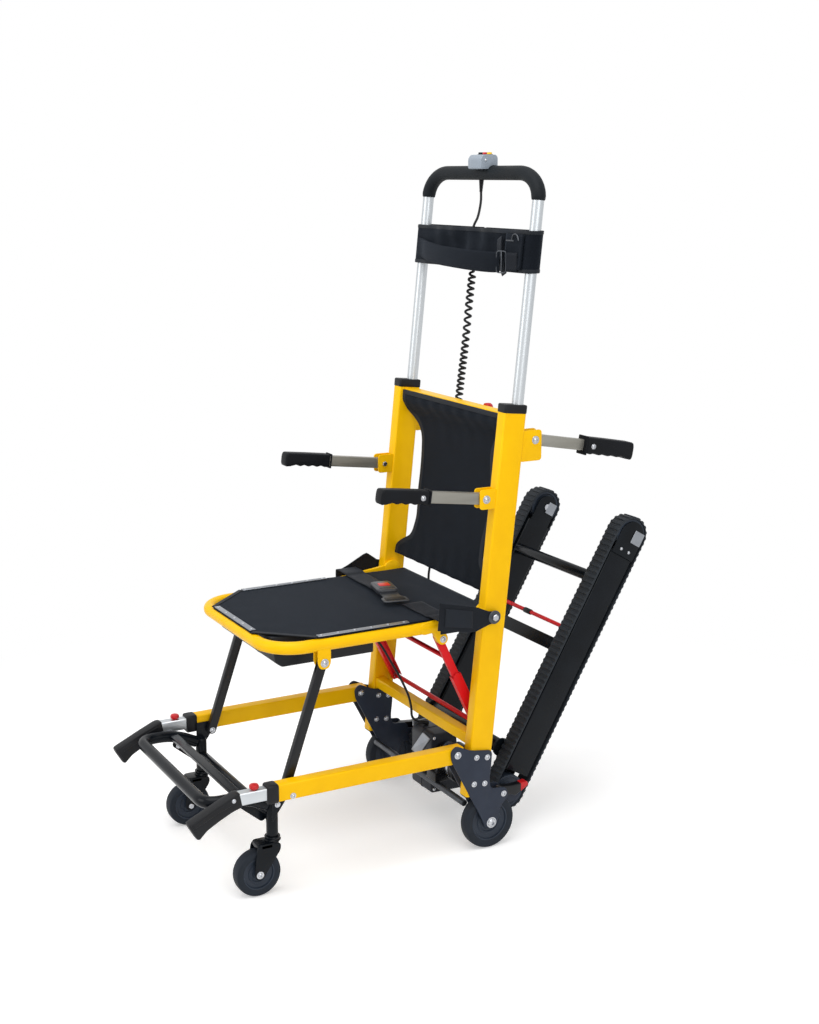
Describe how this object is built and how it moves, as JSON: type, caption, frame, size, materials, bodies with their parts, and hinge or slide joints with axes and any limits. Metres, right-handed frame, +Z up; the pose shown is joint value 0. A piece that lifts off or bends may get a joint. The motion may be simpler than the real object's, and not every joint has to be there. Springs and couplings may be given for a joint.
{
  "type": "electric evacuation chair",
  "caption": "Folding wheeled chair with powered stair tracks, telescoping push bow, carry handles, footrest, casters and a seat belt, for moving a seated person down stairs.",
  "frame": {"origin": "centre of the chair's outline on the floor, z = 0 where the wheels rest", "axes": "+X is the seated person's left, -Y is forwards (footrest end), +Z is up"},
  "size_m": [0.514, 1.1508, 1.516],
  "materials": {
    "bare_aluminium": "drawn and anodised",
    "black_nylon": "moulded, fine grain",
    "black_paint": "black powder coat, satin",
    "black_rubber": "matt",
    "foam": "closed cell foam",
    "grey_plastic": "moulded",
    "red_paint": "red paint, satin",
    "red_plastic": "moulded",
    "sling_fabric": "coated woven polyester",
    "webbing": "woven webbing",
    "yellow_paint": "powder coated, satin",
    "yellow_plastic": "moulded"
  },
  "bodies": {
    "frame": {"upright_left": "yellow_paint", "upright_right": "yellow_paint", "back_top_bar": "yellow_paint", "back_sling": "sling_fabric", "lower_crossbar": "yellow_paint", "wheel_plate_left": "black_paint", "wheel_plate_right": "black_paint", "motor_tie_bar": "bare_aluminium", "gearbox": "black_paint", "drive_motor": "black_paint", "control_tail": "black_rubber", "motor_lead": "black_rubber"},
    "seat": {"seat_frame": "yellow_paint", "seat_sling": "sling_fabric", "battery_box": "black_nylon", "seat_belt_left": "webbing", "seat_belt_right": "webbing", "belt_buckle": "grey_plastic"},
    "buckle_release": {"buckle_button": "red_plastic"},
    "struts": {"strut_left": "black_paint", "strut_right": "black_paint"},
    "rails": {"rail_left": "yellow_paint", "rail_right": "yellow_paint", "caster_carrier": "black_paint", "footrest": "black_paint"},
    "brace_channels": {"brace_lower": "red_paint"},
    "brace_bars": {"brace_upper": "red_paint"},
    "tracks": {"track_frame": "black_paint", "track_belt_left": "black_rubber", "track_belt_right": "black_rubber"},
    "drive_shaft": {"track_shaft": "black_nylon"},
    "idler_left": {"track_idler_left": "black_nylon"},
    "idler_right": {"track_idler_right": "black_nylon"},
    "track_lock": {"track_lock_bar": "red_paint"},
    "push_handle": {"handle_tube": "bare_aluminium", "handle_grip": "foam", "head_band": "sling_fabric", "control_box": "grey_plastic", "control_lead": "black_rubber", "control_coil": "black_rubber"},
    "dark_button": {"button_dark": "black_nylon"},
    "red_button": {"button_red": "red_plastic"},
    "yellow_button": {"button_yellow": "yellow_plastic"},
    "handle_release": {"handle_release_knob": "red_plastic"},
    "rear_wheel_l": {"rear_wheel_left": "black_rubber"},
    "rear_wheel_r": {"rear_wheel_right": "black_rubber"},
    "brake_l": {"brake_pedal_left": "red_plastic"},
    "brake_r": {"brake_pedal_right": "red_plastic"},
    "carry_front_l": {"carry_handle_front_left": "black_rubber"},
    "carry_front_r": {"carry_handle_front_right": "black_rubber"},
    "carry_rear_l": {"carry_handle_rear_left": "black_rubber"},
    "carry_rear_r": {"carry_handle_rear_right": "black_rubber"},
    "lift_l": {"lift_handle_left": "bare_aluminium"},
    "lift_r": {"lift_handle_right": "bare_aluminium"},
    "lift_knob_l": {"lift_knob_left": "red_plastic"},
    "lift_knob_r": {"lift_knob_right": "red_plastic"},
    "fork_l": {"caster_fork_left": "black_paint"},
    "fork_r": {"caster_fork_right": "black_paint"},
    "caster_l": {"caster_wheel_left": "black_rubber"},
    "caster_r": {"caster_wheel_right": "black_rubber"}
  },
  "joints": [
    {"name": "seat_fold", "type": "hinge", "parent": "frame", "child": "seat", "pos_m": [0, 0.12663, 0.539], "axis": [-1, 0, 0], "range_deg": [0, 62], "deforming": ["control_tail", "motor_lead"]},
    {"name": "strut_fold", "type": "hinge", "parent": "seat", "child": "struts", "pos_m": [0, -0.25938, 0.485], "axis": [-1, 0, 0], "range_deg": [-75, 0]},
    {"name": "rail_fold", "type": "hinge", "parent": "frame", "child": "rails", "pos_m": [0, 0.04063, 0.237], "axis": [-1, 0, 0], "range_deg": [0, 64]},
    {"name": "brace_turn", "type": "hinge", "parent": "frame", "child": "brace_channels", "pos_m": [0, 0.12663, 0.275], "axis": [-1, 0, 0], "range_deg": [0, 12]},
    {"name": "brace_slide", "type": "slide", "parent": "brace_channels", "child": "brace_bars", "axis": [0, -0.429, 0.9033], "range_m": [0, 0.106]},
    {"name": "track_fold", "type": "hinge", "parent": "frame", "child": "tracks", "pos_m": [0, 0.20763, 0.1], "axis": [1, 0, 0], "range_deg": [0, 22]},
    {"name": "shaft_spin", "type": "hinge", "parent": "tracks", "child": "drive_shaft", "pos_m": [0, 0.20763, 0.1], "axis": [1, 0, 0], "continuous": true},
    {"name": "idler_spin_left", "type": "hinge", "parent": "tracks", "child": "idler_left", "pos_m": [0.177, 0.53087, 0.65989], "axis": [1, 0, 0], "continuous": true},
    {"name": "idler_spin_right", "type": "hinge", "parent": "tracks", "child": "idler_right", "pos_m": [-0.177, 0.53087, 0.65989], "axis": [1, 0, 0], "continuous": true},
    {"name": "lock_swing", "type": "hinge", "parent": "tracks", "child": "track_lock", "pos_m": [0, 0.35839, 0.41133], "axis": [1, 0, 0], "range_deg": [0, 15]},
    {"name": "handle_slide", "type": "slide", "parent": "frame", "child": "push_handle", "axis": [0, 0.1019, 0.9948], "range_m": [-0.24, 0], "deforming": ["control_coil"]},
    {"name": "dark_press", "type": "slide", "parent": "push_handle", "child": "dark_button", "axis": [0, 0, -1], "range_m": [0, 0.002], "stiffness_N_per_m": 500},
    {"name": "red_press", "type": "slide", "parent": "push_handle", "child": "red_button", "axis": [0, 0, -1], "range_m": [0, 0.002], "stiffness_N_per_m": 500},
    {"name": "yellow_press", "type": "slide", "parent": "push_handle", "child": "yellow_button", "axis": [0, 0, -1], "range_m": [0, 0.002], "stiffness_N_per_m": 500},
    {"name": "release_pull", "type": "slide", "parent": "frame", "child": "handle_release", "axis": [0, 1, 0], "range_m": [0, 0.006], "stiffness_N_per_m": 400},
    {"name": "buckle_press", "type": "slide", "parent": "seat", "child": "buckle_release", "axis": [0, 0, -1], "range_m": [0, 0.002], "stiffness_N_per_m": 500},
    {"name": "rear_wheel_spin_left", "type": "hinge", "parent": "frame", "child": "rear_wheel_l", "pos_m": [0.232, 0.12863, 0.0625], "axis": [1, 0, 0], "continuous": true},
    {"name": "brake_turn_left", "type": "hinge", "parent": "frame", "child": "brake_l", "pos_m": [0.232, 0.15963, 0.125], "axis": [1, 0, 0], "range_deg": [-12, 0]},
    {"name": "front_carry_fold_left", "type": "hinge", "parent": "frame", "child": "carry_front_l", "pos_m": [0.232, 0.11063, 0.797], "axis": [-1, 0, 0], "range_deg": [-92, 0]},
    {"name": "rear_carry_fold_left", "type": "hinge", "parent": "frame", "child": "carry_rear_l", "pos_m": [0.232, 0.23163, 0.915], "axis": [1, 0, 0], "range_deg": [-84, 0]},
    {"name": "lift_slide_left", "type": "slide", "parent": "rails", "child": "lift_l", "axis": [0, -1, 0], "range_m": [0, 0.1]},
    {"name": "lift_knob_pull_left", "type": "slide", "parent": "lift_l", "child": "lift_knob_l", "axis": [0, 0, 1], "range_m": [0, 0.004], "stiffness_N_per_m": 400},
    {"name": "caster_swivel_left", "type": "hinge", "parent": "rails", "child": "fork_l", "pos_m": [0.202, -0.37838, 0.125], "axis": [0, 0, 1], "continuous": true},
    {"name": "caster_spin_left", "type": "hinge", "parent": "fork_l", "child": "caster_l", "pos_m": [0.202, -0.41538, 0.05], "axis": [1, 0, 0], "continuous": true},
    {"name": "rear_wheel_spin_right", "type": "hinge", "parent": "frame", "child": "rear_wheel_r", "pos_m": [-0.232, 0.12863, 0.0625], "axis": [1, 0, 0], "continuous": true},
    {"name": "brake_turn_right", "type": "hinge", "parent": "frame", "child": "brake_r", "pos_m": [-0.232, 0.15963, 0.125], "axis": [1, 0, 0], "range_deg": [-12, 0]},
    {"name": "front_carry_fold_right", "type": "hinge", "parent": "frame", "child": "carry_front_r", "pos_m": [-0.232, 0.11063, 0.797], "axis": [-1, 0, 0], "range_deg": [-92, 0]},
    {"name": "rear_carry_fold_right", "type": "hinge", "parent": "frame", "child": "carry_rear_r", "pos_m": [-0.232, 0.23163, 0.915], "axis": [1, 0, 0], "range_deg": [-84, 0]},
    {"name": "lift_slide_right", "type": "slide", "parent": "rails", "child": "lift_r", "axis": [0, -1, 0], "range_m": [0, 0.1]},
    {"name": "lift_knob_pull_right", "type": "slide", "parent": "lift_r", "child": "lift_knob_r", "axis": [0, 0, 1], "range_m": [0, 0.004], "stiffness_N_per_m": 400},
    {"name": "caster_swivel_right", "type": "hinge", "parent": "rails", "child": "fork_r", "pos_m": [-0.202, -0.37838, 0.125], "axis": [0, 0, 1], "continuous": true},
    {"name": "caster_spin_right", "type": "hinge", "parent": "fork_r", "child": "caster_r", "pos_m": [-0.202, -0.41538, 0.05], "axis": [1, 0, 0], "continuous": true}
  ],
  "couplings": [
    {"joint": "strut_fold", "follows": "seat_fold", "ratio": -1.1322},
    {"joint": "rail_fold", "follows": "seat_fold", "ratio": 1.0134},
    {"joint": "brace_turn", "follows": "seat_fold", "ratio": 0.17068},
    {"joint": "brace_slide", "follows": "seat_fold", "m_per_rad": 0.0959},
    {"joint": "idler_spin_left", "follows": "shaft_spin", "ratio": 1},
    {"joint": "idler_spin_right", "follows": "shaft_spin", "ratio": 1}
  ]
}
